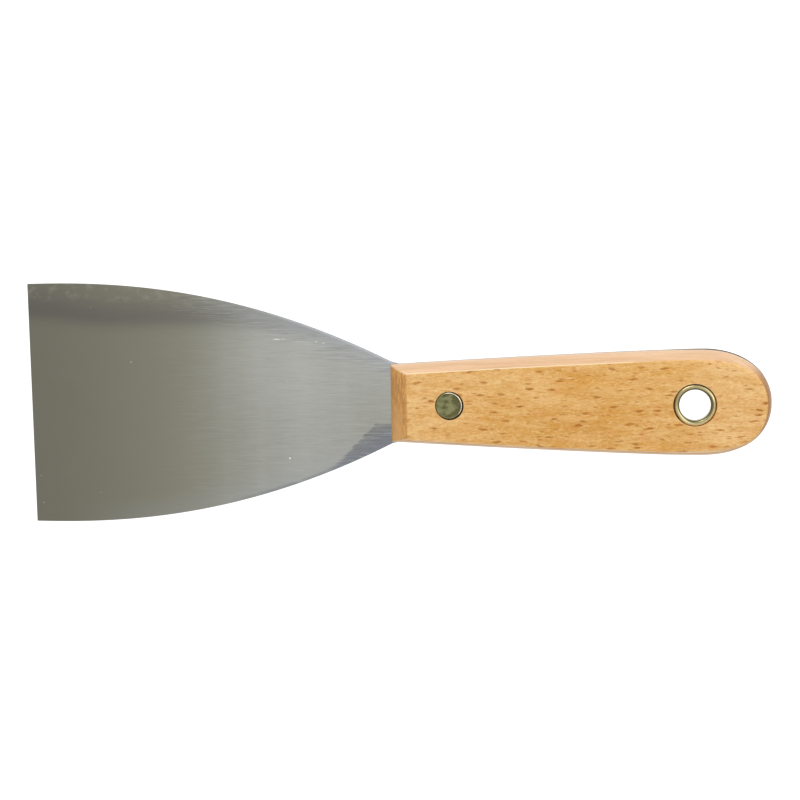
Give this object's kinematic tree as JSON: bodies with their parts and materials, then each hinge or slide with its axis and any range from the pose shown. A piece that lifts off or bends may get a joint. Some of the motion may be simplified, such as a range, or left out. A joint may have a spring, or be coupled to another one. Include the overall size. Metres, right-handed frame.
{
  "type": "flexible putty knife",
  "caption": "Flexible putty knife: broad flared steel blade with a full tang between two wooden scales, held by a rivet and a hanging eyelet.",
  "frame": {"origin": "middle of the knife's length and width, at the bottom of its bounding box: the outer face of the rear scale", "axes": "+X from the cutting edge to the butt, +Y across the blade, +Z out of the front scale's face"},
  "size_m": [0.2116, 0.0702, 0.0192],
  "materials": {
    "steel": "ground lengthwise, semi-matt, with faint spots",
    "wood_front": "clear satin lacquer over beech",
    "wood_rear": "clear satin lacquer over beech",
    "rivet": "dull, smudged",
    "eyelet": "bright, lightly scuffed"
  },
  "bodies": {
    "root": {"blade": "steel", "front_scale": "wood_front", "rear_scale": "wood_rear", "rivet_post": "rivet", "rivet_socket": "rivet", "eyelet": "eyelet", "eyelet_collar": "eyelet"}
  },
  "joints": []
}
